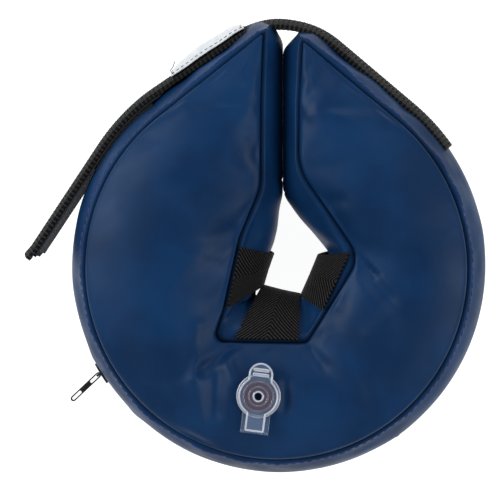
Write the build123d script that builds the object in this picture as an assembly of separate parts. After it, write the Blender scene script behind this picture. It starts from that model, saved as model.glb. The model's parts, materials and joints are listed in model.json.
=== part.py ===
from build123d import *
import math
import os

# Inflatable ring collar, lying on its back panel. Millimetres, +Z up.
# Origin: the centre of the round outer band, on the plane that the back panel rests on.
# +Y points along the slit, from the neck opening to the two ends.

# ---- the inflated ring ----
ring_radius = 86.5  # centre to the outer band at its widest
ring_depth = 60.0  # back face to front face
tip_beyond = 14.5  # how far the two ends stand past that circle
tip_radius = 35.0  # rounding of the ends, seen from the front
full_round = 25.0  # rounding of every inflated edge
least_flat = 5.0  # of the sides at mid-depth, left by that rounding
seam_depth = 7.7  # each panel seam, in from its face
seam_gap = 0.2  # between two sewn pieces of the cover
cover_wall = 1.2  # coated fabric
bladder_clear = 1.5  # between the zip slider's inner plate and the bladder
bladder_wall = 0.4

# ---- the slit and the neck opening, at mid-depth ----
slit_x = 1.6
slit_gap = 1.2
slit_foot_left = 29.0  # where the slit opens into the neck, on each side
slit_foot_right = 30.5
neck_low_left = (-12.8, -16.5)
neck_low_right = (11.2, -16.5)
neck_right = (20.5, 0.2)
low_corner_round = 2.0
right_corner_round = 4.0
shoulder_round = 30.0  # from slit to neck, on both sides
gusset_foot = 36.0  # seam between each end gusset and the neck band

# ---- the line where the right arm bends ----
arm_pivot_angle = 325.0
arm_pivot_inset = 1.0  # pivot inside the outer face of the band
arm_gap = 0.6
divide_seam = (17.3, -21.2)  # the dividing line at the neck seam
divide_hole = (8.6, -12.1)  # and at the bulge of the neck band

# ---- tape loops for the pet's own collar ----
loop_width = 25.4
loop_tape = 0.8
loop_room = 3.2  # between tape and neck band at mid-depth
loop_mitre_gap = 0.3
loop_left_at = 14.2  # middle of each loop from the middle of its neck side
loop_low_at = -3.0
loop_right_at = 5.2

# ---- strap ----
strap_width = 25.0
strap_thick = 1.6
anchor_start = 35.0  # angle of the sewn end on the outer band
anchor_clear = 0.1
strap_pivot_angle = 78.0  # about the centre of the end rounding
strap_pivot_gap = 0.4
strap_clear = 0.8  # free strap over the left end
pad_thick = 1.6
pad_clear = 0.2
pad_end = 152.0
hook_thick = 0.9
hook_clear = 0.6  # between the hook tape and the pad
hook_lap = 8.0  # hook tape on the straight flank
hook_margin = 2.0  # bare webbing at the tail's end
strap_leave = 146.5  # angle where the tail leaves the outer band
tail_length = 54.0
label_length = 34.0
label_width = 18.0
label_thick = 0.3
label_clear = 0.05

# ---- zip in the outer band ----
zip_start = 206.5
zip_end = 306.0
slot_clear = 0.45  # between the slider's flanges and the slot in the band
zip_tape_wall = 0.45
zip_tape_clear = 0.05
zip_tape_width = 11.0
zip_tape_over = 1.5  # degrees of tape beyond the slot
coil_width = 1.8
coil_gap = 1.1
coil_out = 0.4  # coil beyond the outer face of the band
stop_arc = 1.2  # degrees
stop_cover = 0.35
stop_clear = 0.15  # degrees
slider_rest = 0.55  # degrees from the top stops, with the zip shut
slider_arc = 6.2  # degrees
slider_plate = 0.9
slider_clear = 0.3
slider_flange = 0.5
slider_post_arc = 1.5  # degrees
bail_height = 1.5  # plate to the middle of the bail bar
bail_bar = 0.9
bail_clear = 0.85  # between the pull and each bail post
bail_post = 0.7
pull_length = 17.0
pull_thick = 1.5
pull_wire = 0.6
pull_play = 0.15
pull_window = 5.2
pull_lean = 12.0  # from straight out, at rest

# ---- valve ----
valve_at = (-6.2, -51.3)
valve_turn = -7.0  # about its own axis
weld_radius = 13.0
weld_thick = 1.0
weld_clear = 0.05
sleeve_wall = 1.3
sleeve_depth = 12.0
sleeve_below = 1.2  # top of the sleeve under the front panel
stem_outer = 6.0
stem_wall = 1.9
stem_fit = 0.2
stem_length = 16.5
port_clear = 1.0  # hole in the front panel round the stem
rim_radius = 8.7
rim_thick = 1.2
rim_clear = 0.3  # rim over the front panel
cap_radius = 7.85
cap_thick = 1.2
cap_clear = 0.3
plug_fit = 0.2
plug_taper = 0.6
plug_length = 4.5
plug_wall = 1.9
tab_width = 9.2
tab_reach = 13.5
rib_places = (2.6, 4.6)  # grip ribs, from the end of the tab
rib_margin = 1.6  # from each side of the tab
rib_width = 0.7
rib_height = 0.4
tongue_width = 11.4
tongue_thick = 0.8
cap_strap_width = 7.2
cap_strap_thick = 0.8
cap_pivot = 15.0  # valve axis to the fold of the cap strap
fold_radius = 0.6
fold_clear = 0.2
flap_lap = 0.9  # flap beyond the bore
flap_thick = 0.6
flap_clear = 0.3

# ---- worked out ----
reach = 2 * ring_radius  # further than any piece
mid_depth = ring_depth / 2
edge_round = min(full_round, mid_depth - least_flat / 2)
seam_low = seam_depth
seam_high = ring_depth - seam_depth
tip_centre = (slit_x, ring_radius + tip_beyond - tip_radius)
slider_base = ring_radius + coil_out + slider_clear
bail_radius = slider_base + slider_plate + bail_height
coil_floor = ring_radius - cover_wall - zip_tape_clear
coil_low = coil_gap / 2
coil_high = coil_low + coil_width
zip_slot = 2 * (coil_high + slider_clear + slider_flange + slot_clear)
slider_angle = zip_start + stop_clear + stop_arc + slider_rest + slider_arc / 2
slider_post = coil_gap - 2 * slider_clear
bail_span = pull_thick + 2 * bail_clear  # clear width under the bail
bladder_inset = cover_wall + zip_tape_clear + zip_tape_wall + slider_clear + slider_plate + bladder_clear
strap_rise = pad_clear + pad_thick + hook_clear + hook_thick  # free strap over the outer band
rim_low = ring_depth + rim_clear
rim_high = rim_low + rim_thick
cap_low = rim_high + cap_clear
stem_bore = stem_outer - stem_wall
flap_radius = stem_bore + flap_lap
rib_length = tab_width - 2 * rib_margin


def flank(large, small):
    """Angles of the right and left straight flanks between the two rounded parts."""
    span = math.hypot(*tip_centre)
    lean = math.degrees(math.atan2(tip_centre[1], tip_centre[0]))
    half = math.degrees(math.acos((large - small) / span))
    return lean - half, lean + half


def around(radius, degrees):
    """Point on a circle about the ring's centre."""
    turn = math.radians(degrees)
    return (radius * math.cos(turn), radius * math.sin(turn))


def slab(face, low, high):
    """A flat face standing between two heights."""
    return Pos(0, 0, low) * extrude(face, high - low)


def level(low, high):
    """Everything between two heights."""
    return Pos(0, 0, (low + high) / 2) * Box(4 * reach, 4 * reach, high - low)


def sector(start, end, inner, outer):
    """Part of a flat ring between two angles and two radii."""
    rim = CenterArc((0, 0), outer, start, end - start)
    bore = CenterArc((0, 0), inner, start, end - start)
    return make_face([rim, Line(rim @ 1, bore @ 1), bore, Line(bore @ 0, rim @ 0)])


def outer_solid(inset):
    """The ring's outer form, without slit or neck, a given distance inside the cover."""
    right, left = flank(ring_radius, tip_radius)
    big = CenterArc((0, 0), ring_radius - inset, left, 360 - left + right)
    small = CenterArc(tip_centre, tip_radius - inset, right, left - right)
    outline = make_face([big, Line(big @ 1, small @ 0), small, Line(small @ 1, big @ 0)])
    body = slab(outline, inset, ring_depth - inset)
    rims = body.edges().filter_by(Plane.XY)
    return fillet(rims, edge_round - inset)


def inner_solid(inset):
    """A block with the slit and the neck opening, every edge of them rounded."""
    half = slit_gap / 2
    sides = [
        (slit_x - half, 2 * reach),
        (slit_x - half, slit_foot_left),
        neck_low_left,
        neck_low_right,
        neck_right,
        (slit_x + half, slit_foot_right),
        (slit_x + half, 2 * reach),
    ]
    rounds = [shoulder_round, low_corner_round, low_corner_round, right_corner_round, shoulder_round]
    path = FilletPolyline(*sides, radius=rounds)
    opening = make_face([path, Line(path @ 1, path @ 0)])
    if inset:
        opening = offset(opening, inset)
    block = slab(Rectangle(2 * reach, 2 * reach), inset, ring_depth - inset)
    block -= slab(opening, 0, ring_depth)
    rims = block.edges().filter_by(Plane.XY)
    rims = rims.filter_by(lambda edge: abs(edge.center().X) < reach / 3 and edge.center().Y > -reach / 2)
    return fillet(rims, edge_round - inset)


def arm_outline():
    """The right arm, seen from the front."""
    pivot = around(ring_radius - arm_pivot_inset, arm_pivot_angle)
    beyond = around(reach, arm_pivot_angle)
    middle = slit_x + slit_gap / 2 - 0.1
    corners = [
        pivot,
        beyond,
        (2 * reach, beyond[1]),
        (2 * reach, 2 * reach),
        (middle, 2 * reach),
        (middle, 0),
        divide_hole,
        divide_seam,
    ]
    return make_face(Polyline(*corners, close=True))


def side_frame(start, end):
    """Plane of one neck side: origin at its middle, X along it and Y into the opening."""
    along = Vector(end[0] - start[0], end[1] - start[1])
    middle = ((start[0] + end[0]) / 2, (start[1] + end[1]) / 2)
    return Plane(origin=(*middle, 0), x_dir=(along.X, along.Y, 0), z_dir=(0, 0, 1))


def bisector(before, corner, after):
    """Unit vector that halves a corner of the neck opening, pointing into it."""
    one = (Vector(*before) - Vector(*corner)).normalized()
    two = (Vector(*after) - Vector(*corner)).normalized()
    return (one + two).normalized()


def tape_plan(start, end, first, second):
    """Part of the plan along one neck side, between a cut at each end of it."""
    start, end = Vector(*start), Vector(*end)
    far, near = 2 * edge_round, 2 * (loop_room + loop_tape)
    points = [start - first * far, end - second * far, end + second * near, start + first * near]
    return offset(make_face(Polyline(*points, close=True)), -loop_mitre_gap / 2, kind=Kind.INTERSECTION)


def tape_loop(start, end, first, second, centre, neck):
    """Tape from the back seam over the neck band to the front seam, along one neck side."""
    side = side_frame(start, end)
    foot = -(edge_round - math.sqrt(edge_round**2 - (edge_round - seam_depth) ** 2))
    top = loop_room + loop_tape
    inner = ThreePointArc((foot, seam_low), (loop_room, mid_depth), (foot, seam_high))
    outer = ThreePointArc((foot + loop_tape, seam_low), (top, mid_depth), (foot + loop_tape, seam_high))
    profile = make_face([outer, Line(outer @ 1, inner @ 1), inner, Line(inner @ 0, outer @ 0)])
    upright = Plane(origin=(centre - loop_width / 2, 0, 0), x_dir=(0, 1, 0), z_dir=(1, 0, 0))
    tape = side * (upright * extrude(profile, loop_width))
    return (tape & slab(tape_plan(start, end, first, second), 0, ring_depth)) - neck


def between(one, two):
    """Closed strip between two runs of lines and arcs that go the same way."""
    ends = [Line(one[-1] @ 1, two[-1] @ 1), Line(two[0] @ 0, one[0] @ 0)]
    return make_face([*one, *two, *ends])


def strap_slab(face, width):
    """A strip of tape standing on edge, centred at mid-depth."""
    return slab(face, mid_depth - width / 2, mid_depth + width / 2)


def anchor_run(out):
    """The sewn part of the strap: round the outer band, up the right flank, over the right end."""
    right = flank(ring_radius, tip_radius)[0]
    stop = strap_pivot_angle - math.degrees(strap_pivot_gap / 2 / tip_radius)
    low = CenterArc((0, 0), ring_radius + out, anchor_start, right - anchor_start)
    top = CenterArc(tip_centre, tip_radius + out, right, stop - right)
    return [low, Line(low @ 1, top @ 0), top]


def flank_run(out):
    """Ends of the free strap's straight part down the left flank, and its angle."""
    large, small = ring_radius + strap_rise, tip_radius + strap_clear
    angle = flank(large, small)[1]
    way = Vector(*around(1, angle))
    return Vector(*tip_centre) + way * (small + out), way * (large + out), angle


def free_run(out):
    """The free strap: over the left end, down the left flank, round the band, and a straight tail."""
    top_end, low_start, angle = flank_run(out)
    start = strap_pivot_angle + math.degrees(strap_pivot_gap / 2 / tip_radius)
    top = CenterArc(tip_centre, tip_radius + strap_clear + out, start, angle - start)
    return [top, Line(top_end, low_start), *tail_run(out, 0)]


def tail_run(out, short):
    """Round the band from the end of the left flank, then straight on."""
    angle = flank_run(out)[2]
    low = CenterArc((0, 0), ring_radius + strap_rise + out, angle, strap_leave - angle)
    end = low @ 1 + (low % 1) * (tail_length - short)
    return [low, Line(low @ 1, end)]


def hook_run(out):
    """The hook tape: the last of the flank, round the band and along the tail."""
    top_end, low_start, _ = flank_run(out)
    start = low_start + (top_end - low_start).normalized() * hook_lap
    return [Line(start, low_start), *tail_run(out, hook_margin)]


def label_run(out):
    """The blank label, on the outside of the straight flank."""
    top_end, low_start, _ = flank_run(out)
    middle = (top_end + low_start) / 2
    half = (low_start - top_end).normalized() * (label_length / 2)
    return [Line(middle - half, middle + half)]


def make_strap():
    """Strap, hook tape, loop pad and label."""
    hook = between(hook_run(-hook_thick), hook_run(0))
    pad_base = ring_radius + pad_clear
    pad = sector(flank(ring_radius, tip_radius)[1], pad_end, pad_base, pad_base + pad_thick)
    label_base = strap_thick + label_clear
    label = between(label_run(label_base), label_run(label_base + label_thick))
    anchor = between(anchor_run(anchor_clear), anchor_run(anchor_clear + strap_thick))
    return {
        "strap_anchor": strap_slab(anchor, strap_width),
        "strap_free": strap_slab(between(free_run(0), free_run(strap_thick)), strap_width),
        "hook_tape": strap_slab(hook, strap_width),
        "loop_pad": strap_slab(pad, strap_width),
        "strap_label": strap_slab(label, label_width),
    }


def zip_slab(start, end, inner, outer, low, high):
    """Part of the zip: an arc of the outer band between two heights from mid-depth."""
    return slab(sector(start, end, inner, outer), mid_depth + low, mid_depth + high)


def make_zip():
    """Two tapes behind the band, two coils in the slot, and the stops."""
    outside = cover_wall + zip_tape_clear
    sheet = outer_solid(outside) - outer_solid(outside + zip_tape_wall)
    start, end = zip_start - zip_tape_over, zip_end + zip_tape_over
    spare = edge_round / 2
    upper = zip_slab(start, end, ring_radius - spare, ring_radius, coil_low, zip_tape_width)
    lower = zip_slab(start, end, ring_radius - spare, ring_radius, -zip_tape_width, -coil_low)
    stop_in = zip_start + stop_clear + stop_arc
    stop_out = zip_end - stop_clear - stop_arc
    coil_top = ring_radius + coil_out
    coil_arc = (stop_in + stop_clear, stop_out - stop_clear, coil_floor, coil_top)
    stop_top = coil_top + stop_cover
    stop_high = coil_high + stop_cover
    top_arc = (zip_start + stop_clear, stop_in, coil_floor, stop_top)
    low_arc = (stop_out, zip_end - stop_clear, coil_floor, stop_top)
    upper_stop = zip_slab(*top_arc, coil_low, stop_high)
    lower_stop = zip_slab(*top_arc, -stop_high, -coil_low)
    return {
        "zip_tape_upper": sheet & upper,
        "zip_tape_lower": sheet & lower,
        "zip_coil_upper": zip_slab(*coil_arc, coil_low, coil_high),
        "zip_coil_lower": zip_slab(*coil_arc, -coil_high, -coil_low),
        "zip_top_stops": Compound([upper_stop, lower_stop]),
        "zip_bottom_stop": zip_slab(*low_arc, -stop_high, stop_high),
    }


def make_slider():
    """Zip slider: two plates joined by a post between the coils, side flanges and a bail."""
    half = slider_arc / 2
    start, end = slider_angle - half, slider_angle + half
    flange_in = coil_high + slider_clear
    flange_out = flange_in + slider_flange
    plate_top = slider_base + slider_plate
    under = coil_floor - zip_tape_wall - slider_clear
    body = zip_slab(start, end, slider_base, plate_top, -flange_out, flange_out)
    body += zip_slab(start, end, under - slider_plate, under, -flange_out, flange_out)
    body += zip_slab(end - slider_post_arc, end, under, slider_base, -slider_post / 2, slider_post / 2)
    skirt = coil_floor + slider_clear
    for low, high in ((flange_in, flange_out), (-flange_out, -flange_in)):
        body += zip_slab(start, end, skirt, slider_base, low, high)
    span = bail_span / 2 + bail_post
    bail = Pos(bail_radius, 0, mid_depth) * Cylinder(bail_bar / 2, 2 * span)
    post_low = plate_top - slider_plate / 2
    post_high = bail_radius + bail_bar / 2
    post = Box(post_high - post_low, bail_bar, bail_post)
    for way in (-1, 1):
        height = mid_depth + way * (bail_span + bail_post) / 2
        bail += Pos((post_low + post_high) / 2, 0, height) * post
    return body + Rot(0, 0, slider_angle) * bail


def make_pull():
    """Zip pull: a long flat link with a window at each end, hung on the bail bar."""
    window = bail_bar + 2 * pull_play
    width = window + 2 * pull_wire
    near = -width / 2
    far = near + pull_length
    link = Pos((near + far) / 2, 0) * SlotOverall(pull_length, width)
    reach_in = pull_wire + pull_window / 2
    for centre in (near + reach_in, far - reach_in):
        link -= Pos(centre, 0) * SlotOverall(pull_window, window)
    link = extrude(link, pull_thick / 2, both=True)
    return Rot(0, 0, slider_angle) * Pos(bail_radius, 0, mid_depth) * Rot(0, 0, pull_lean) * link


def valve_place(piece):
    """Puts a piece drawn about the valve's axis, with its tab along +Y, where the valve is."""
    return Pos(*valve_at, 0) * Rot(0, 0, valve_turn) * piece


def tube(outer, inner, low, high):
    return slab(Circle(outer) - Circle(inner), low, high)


def make_stem():
    """Stem with its rim, and the tongue that carries the fold of the cap strap."""
    stem = tube(stem_outer, stem_bore, rim_high - stem_length, rim_high)
    stem += tube(rim_radius, stem_bore, rim_low, rim_high)
    tongue_start = rim_radius - rim_thick
    tongue = Rectangle(tongue_width, cap_pivot - tongue_start)
    stem += slab(Pos(0, -(cap_pivot + tongue_start) / 2) * tongue, rim_low, rim_low + tongue_thick)
    fold = Rot(0, 90, 0) * Cylinder(fold_radius, tongue_width)
    return stem + Pos(0, -cap_pivot, rim_high) * fold


def make_cap():
    """Cap: disc with a pull tab, a hollow tapered plug and the strap to the fold."""
    cap_high = cap_low + cap_thick
    plan = Circle(cap_radius)
    tab_centre = tab_reach - tab_width / 2
    plan += Pos(0, tab_centre) * Circle(tab_width / 2)
    plan += Pos(0, tab_centre / 2) * Rectangle(tab_width, tab_centre)
    cap = slab(plan, cap_low, cap_high)
    strap_start = cap_radius - cap_thick
    strap_end = cap_pivot - fold_radius - fold_clear
    strap = Pos(0, -(strap_start + strap_end) / 2) * Rectangle(cap_strap_width, strap_end - strap_start)
    cap += slab(strap, cap_high - cap_strap_thick, cap_high)
    plug = stem_bore - plug_fit
    plug_centre = cap_low - plug_length / 2
    cap += Pos(0, 0, plug_centre) * Cone(plug - plug_taper, plug, plug_length)
    cap -= slab(Circle(plug - plug_wall), cap_low - plug_length + cap_thick, cap_high)
    for place in rib_places:
        cap += Pos(0, tab_reach - place, cap_high + rib_height / 2) * Box(rib_length, rib_width, rib_height)
    return cap


def make_valve():
    """Weld ring and sleeve on the bladder, sliding stem, cap and one-way flap."""
    weld_low = ring_depth - bladder_inset + weld_clear
    sleeve_inner = stem_outer + stem_fit
    sleeve_high = ring_depth - cover_wall - sleeve_below
    sleeve = tube(sleeve_inner + sleeve_wall, sleeve_inner, sleeve_high - sleeve_depth, sleeve_high)
    sleeve += tube(weld_radius, sleeve_inner, weld_low, weld_low + weld_thick)
    flap_high = rim_high - stem_length - flap_clear
    pieces = {
        "valve_sleeve": sleeve,
        "valve_stem": make_stem(),
        "valve_cap": make_cap(),
        "check_flap": slab(Circle(flap_radius), flap_high - flap_thick, flap_high),
    }
    return {name: valve_place(piece) for name, piece in pieces.items()}


def make_cover():
    """The sewn cover and the bladder in it, before the right arm is divided off."""
    outside, inside = outer_solid(0), outer_solid(cover_wall)
    neck_outside, neck_inside = inner_solid(0), inner_solid(cover_wall)
    cover = (outside & neck_outside) - (inside & neck_inside)
    sides = level(seam_low + seam_gap / 2, seam_high - seam_gap / 2)
    port = valve_place(slab(Circle(stem_outer + port_clear), mid_depth, ring_depth + 1))
    band = (outside - inside) & neck_outside & sides
    band -= zip_slab(zip_start, zip_end, ring_radius / 2, reach, -zip_slot / 2, zip_slot / 2)
    lining = (neck_outside - neck_inside) & inside & sides
    low_side = Pos(0, gusset_foot - reach, mid_depth) * Box(2 * reach, 2 * reach, ring_depth)
    ends = lining - Pos(0, seam_gap, 0) * low_side
    left_side = Pos(slit_x - reach, 0, mid_depth) * Box(2 * reach, 2 * reach, ring_depth)
    bladder_outer = outer_solid(bladder_inset) & inner_solid(bladder_inset)
    bladder_inner = outer_solid(bladder_inset + bladder_wall) & inner_solid(bladder_inset + bladder_wall)
    mouth = stem_outer + stem_fit + sleeve_wall + weld_clear
    return {
        "front_panel": (cover & level(seam_high + seam_gap / 2, reach)) - port,
        "back_panel": cover & level(-reach, seam_low - seam_gap / 2),
        "outer_band": band,
        "neck_band": lining & low_side,
        "end_gusset_left": ends & left_side,
        "end_gusset_right": ends - left_side,
        "bladder": (bladder_outer - bladder_inner) - valve_place(slab(Circle(mouth), mid_depth, ring_depth)),
    }


def make_loops():
    """Three tape loops round the neck opening. Neighbours meet at the corners' mitres."""
    neck = inner_solid(0)
    foot_left = (slit_x - slit_gap / 2, slit_foot_left)
    foot_right = (slit_x + slit_gap / 2, slit_foot_right)
    square = side_frame(foot_left, neck_low_left).y_dir
    low_left = bisector(foot_left, neck_low_left, neck_low_right)
    low_right = bisector(neck_low_left, neck_low_right, neck_right)
    right = bisector(neck_low_right, neck_right, foot_right)
    return {
        "loop_left": tape_loop(foot_left, neck_low_left, square, low_left, loop_left_at, neck),
        "loop_bottom": tape_loop(neck_low_left, neck_low_right, low_left, low_right, loop_low_at, neck),
        "loop_right": tape_loop(neck_low_right, neck_right, low_right, right, loop_right_at, neck),
    }


def make_all():
    """Every named piece. What crosses the bending line is divided into ring and arm."""
    arm_plan = arm_outline()
    arm = slab(arm_plan, -1, 2 * ring_depth)
    arm_room = slab(offset(arm_plan, arm_gap), -1, 2 * ring_depth)
    pieces = {}
    for name, piece in make_cover().items():
        if name.startswith("end_gusset"):
            pieces[name] = piece
            continue
        pieces[name] = piece - arm_room
        pieces[name + "_arm"] = piece & arm
    loops = make_loops()
    pieces["loop_left"] = loops["loop_left"]
    pieces["loop_bottom"] = loops["loop_bottom"] - arm_room
    pieces["loop_right"] = loops["loop_right"] & arm
    pieces |= make_strap()
    pieces |= make_zip()
    pieces["zip_slider"] = make_slider()
    pieces["zip_pull"] = make_pull()
    pieces |= make_valve()
    return pieces


def main():
    os.makedirs("parts", exist_ok=True)
    for name, piece in make_all().items():
        export_step(piece, f"parts/{name}.step")
        print(name, len(piece.solids()), round(piece.volume))


main()
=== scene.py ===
import json
import math
import bpy
import bmesh
import numpy as np
from mathutils import Matrix, Vector

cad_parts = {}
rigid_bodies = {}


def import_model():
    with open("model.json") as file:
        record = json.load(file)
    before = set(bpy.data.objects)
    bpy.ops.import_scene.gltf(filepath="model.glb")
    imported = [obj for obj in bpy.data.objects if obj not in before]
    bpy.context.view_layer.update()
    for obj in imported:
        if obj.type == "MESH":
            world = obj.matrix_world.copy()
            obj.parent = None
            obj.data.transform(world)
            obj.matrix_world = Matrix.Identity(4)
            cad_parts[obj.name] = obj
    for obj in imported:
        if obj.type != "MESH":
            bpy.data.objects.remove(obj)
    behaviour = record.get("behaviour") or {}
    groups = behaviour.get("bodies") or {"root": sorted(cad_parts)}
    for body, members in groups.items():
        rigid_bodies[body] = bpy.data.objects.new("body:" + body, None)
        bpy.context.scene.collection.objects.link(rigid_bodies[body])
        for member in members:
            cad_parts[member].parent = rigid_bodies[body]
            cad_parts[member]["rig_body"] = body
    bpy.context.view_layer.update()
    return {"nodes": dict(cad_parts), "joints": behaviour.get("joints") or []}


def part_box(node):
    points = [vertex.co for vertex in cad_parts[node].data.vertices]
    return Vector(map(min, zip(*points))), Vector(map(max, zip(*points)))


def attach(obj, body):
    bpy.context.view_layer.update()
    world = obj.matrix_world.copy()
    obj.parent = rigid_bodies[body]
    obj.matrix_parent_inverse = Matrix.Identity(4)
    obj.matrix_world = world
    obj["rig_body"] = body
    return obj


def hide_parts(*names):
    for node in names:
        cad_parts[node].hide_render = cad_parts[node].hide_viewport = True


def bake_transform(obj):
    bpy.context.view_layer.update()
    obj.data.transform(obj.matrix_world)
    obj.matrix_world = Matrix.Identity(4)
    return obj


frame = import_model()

unit = 0.001  # shapes are worked out in millimetres


def cadBox(node):
    low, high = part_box(node)
    return np.array(low) / unit, np.array(high) / unit


def jointPlace(name):
    return np.array(next(j["pos_m"] for j in frame["joints"] if j["name"] == name)) / unit


# paths

def unitVectors(v):
    return v / np.maximum(np.linalg.norm(v, axis=-1, keepdims=True), 1e-9)


def runLengths(points):
    return np.concatenate([[0], np.cumsum(np.linalg.norm(np.diff(points, axis=0), axis=1))])


def pointsAt(points, places):
    lengths = runLengths(points)
    return np.stack([np.interp(places, lengths, points[:, k]) for k in range(points.shape[1])], axis=-1)


def roundedPath(corners, radii, steps=16):
    # corners with an arc at each inner one; also the run length at the middle of each arc
    corners = np.array(corners, float)
    points, marks = [corners[0]], [0]
    for before, corner, after, radius in zip(corners, corners[1:], corners[2:], radii):
        one, two = unitVectors(before - corner), unitVectors(after - corner)
        half = math.acos(np.clip(one @ two, -1, 1)) / 2
        middle = corner + unitVectors(one + two) * radius / math.sin(half)
        foot = radius / math.tan(half)
        first, last = corner + one * foot - middle, corner + two * foot - middle
        turn = math.acos(np.clip(unitVectors(first) @ unitVectors(last), -1, 1))
        for k in range(steps + 1):
            share = k / steps
            way = first * math.sin((1 - share) * turn) + last * math.sin(share * turn)
            points.append(middle + way / math.sin(turn))
            if k == steps // 2:
                marks.append(len(points) - 1)
    points.append(corners[-1])
    marks.append(len(points) - 1)
    points = np.array(points)
    return points, runLengths(points)[marks]


def smoothed(values, width):
    reach = int(3 * width)
    weights = np.exp(-0.5 * (np.arange(-reach, reach + 1) / width) ** 2)
    line = np.linspace(values[0], values[-1], len(values))
    padded = np.pad(values - line, reach, mode="reflect", reflect_type="odd")
    return line + np.convolve(padded, weights / weights.sum(), mode="valid")


# the inflated ring: plan of its seams

depth = cadBox("front_panel")[1][2]
bandRadius = -cadBox("outer_band")[0][1]
midDepth = depth / 2

ring = {
    "seamIn": 7.7,  # seams in from the faces
    "seamRadius": bandRadius - 6.9,
    "columns": 380,
    "rows": (22, 22, 16, 20),  # between the seams of the front, band, back and lining
    "smoothing": 0.018,  # share of the columns that a corner of the seams is spread over
    "bandBulge": 6.9,
    "tipBulge": 3.6,
    "tipRun": 2.3,
    "tipWays": ((0.44, 0.9), (-0.44, 0.9)),  # where the left and the right tip point
    "wall": 0.9,
    "grooveDepth": 2.1,
    "grooveWidth": 0.7,
    "ridge": 0.22,  # beside the band's seams, with its distance from them and its half width
    "ridgePlace": 2.3,
    "ridgeWidth": 1.0,
    "crown": 7.7,
    "crownShare": 0.2,
    "frontPower": 0.72,  # a lower power makes a squarer crown
    "backPower": 0.6,
    "backFlat": 1.1,
    "bandPower": 2.05,
    "liningPower": 2.2,
    "fullWidth": 14,  # a narrower strip has its edge rows closer together
}
zipper = {"start": 206.5, "end": 306.0, "slot": 7.2}  # degrees on the band, and the slot's height
# each row: corner of the neck seam and its rounding, the same corner at mid-depth and its
# rounding, and the angle on the outer seam that belongs to it
ribs = [
    ((-4.0, 98.1), 0, (1.72, 97.0), 0, 92.5),
    ((-5.0, 70.0), 20, (1.72, 70.0), 20, 119.0),
    ((-5.2, 33.5), 20, (1.7, 29.8), 12, 154.0),
    ((-13.8, 13.0), 24, (-3.0, 9.8), 30, 172.0),
    ((-20.6, -16.5), 20, (-10.4, -9.5), 20, 209.0),
    ((-25.4, -29.3), 3.5, (-10.7, -12.3), 5, 229.0),
    ((12.9, -29.3), 3.0, (11.0, -13.9), 4.5, 290.0),
    ((33.7, 5.2), 10, (20.6, 4.2), 4, 364.0),
    ((8.9, 41.1), 24, (1.88, 29.8), 12, 392.0),
    ((8.9, 68.0), 20, (1.88, 68.0), 20, 418.0),
    ((10.4, 94.9), 0, (1.88, 93.5), 0, 443.9),
]
flankAngles = (128.2, 410.2)  # between these the outer seam is round, and straight beyond them


def outerSeam(angles, out=0):
    held = np.clip(angles, *flankAngles)
    reach = (ring["seamRadius"] + out) / np.cos(np.radians(angles - held))
    return np.stack([reach * np.cos(np.radians(angles)), reach * np.sin(np.radians(angles))], axis=-1)


def ringCurves(columns):
    seam, seamMarks = roundedPath([r[0] for r in ribs], [r[1] for r in ribs[1:-1]])
    middle, middleMarks = roundedPath([r[2] for r in ribs], [r[3] for r in ribs[1:-1]])
    angleMarks = np.array([r[4] for r in ribs])
    outerMarks = np.radians(angleMarks) * ring["seamRadius"]
    marks = np.cumsum(np.concatenate([[0], np.diff(seamMarks) + np.diff(outerMarks)]))
    t = np.linspace(0, marks[-1], columns + 1)
    width = columns * ring["smoothing"]
    inner = pointsAt(seam, smoothed(np.interp(t, marks, seamMarks), width))
    mid = pointsAt(middle, smoothed(np.interp(t, marks, middleMarks), width))
    angles = smoothed(np.interp(t, marks, angleMarks), width)
    for stop in (zipper["start"], zipper["end"]):
        angles[np.argmin(abs(angles - stop))] = stop
    outer = outerSeam(angles)
    outer[0], outer[-1] = inner[0], inner[-1]
    return inner, mid, outer, angles


def tipShare(points):
    # 1 at the two ends, and 0 a little way along
    lengths = runLengths(points)
    near = np.minimum(lengths, lengths[-1] - lengths)
    return np.exp(-((near / ring["tipRun"]) ** 2))


def midCurves(inner, mid, outer, angles):
    held = np.radians(np.clip(angles, *flankAngles))
    outward = np.stack([np.cos(held), np.sin(held)], axis=-1)
    half = len(inner) // 2
    leftTip, rightTip = unitVectors(np.array(ring["tipWays"]))
    tipWay = np.where(np.arange(len(inner))[:, None] < half, leftTip, rightTip)
    share = tipShare(outer)[:, None]
    way = unitVectors((1 - share) * outward + share * tipWay)
    bulge = (1 - share) * ring["bandBulge"] + share * ring["tipBulge"]
    outerMid = outer + way * bulge
    share = tipShare(inner)[:, None]
    innerMid = (1 - share) * mid + share * (inner + tipWay * ring["tipBulge"])
    innerMid[0], innerMid[-1] = outerMid[0], outerMid[-1]
    return innerMid, outerMid


# the inflated ring: its four strips

fineRows = np.array([0, 0.3, 0.6, 0.95, 1.4, 2.0, 2.8, 3.8])  # distances from a seam
coarseRows = np.array([0, 2.4])


def rowPlaces(width, inside, rows):
    # places across a strip from 0 to 1, closer together beside both seams
    near = rows * np.minimum(1, width / ring["fullWidth"])[:, None] / width[:, None]
    between = np.linspace(0, 1, inside + 2)[1:-1]
    spread = near[:, -1:] + (1 - 2 * near[:, -1:]) * between
    return np.concatenate([near, spread, 1 - near[:, ::-1]], axis=1)


def panelStrip(inner, outer, inside, rows, front):
    width = np.maximum(np.linalg.norm(outer - inner, axis=1), 0.05)
    u = rowPlaces(width, inside, rows)
    plan = inner[:, None] + (outer - inner)[:, None] * u[..., None]
    crown = np.minimum(ring["crown"], ring["crownShare"] * width)
    rise = np.sin(np.pi * u) ** (ring["frontPower"] if front else ring["backPower"])
    if not front:
        rise = np.minimum(1, ring["backFlat"] * rise)
    height = depth - ring["seamIn"] + crown[:, None] * rise
    if not front:
        height = depth - height
    return np.concatenate([plan, height[..., None]], axis=-1), u * width[:, None], (1 - u) * width[:, None]


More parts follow.
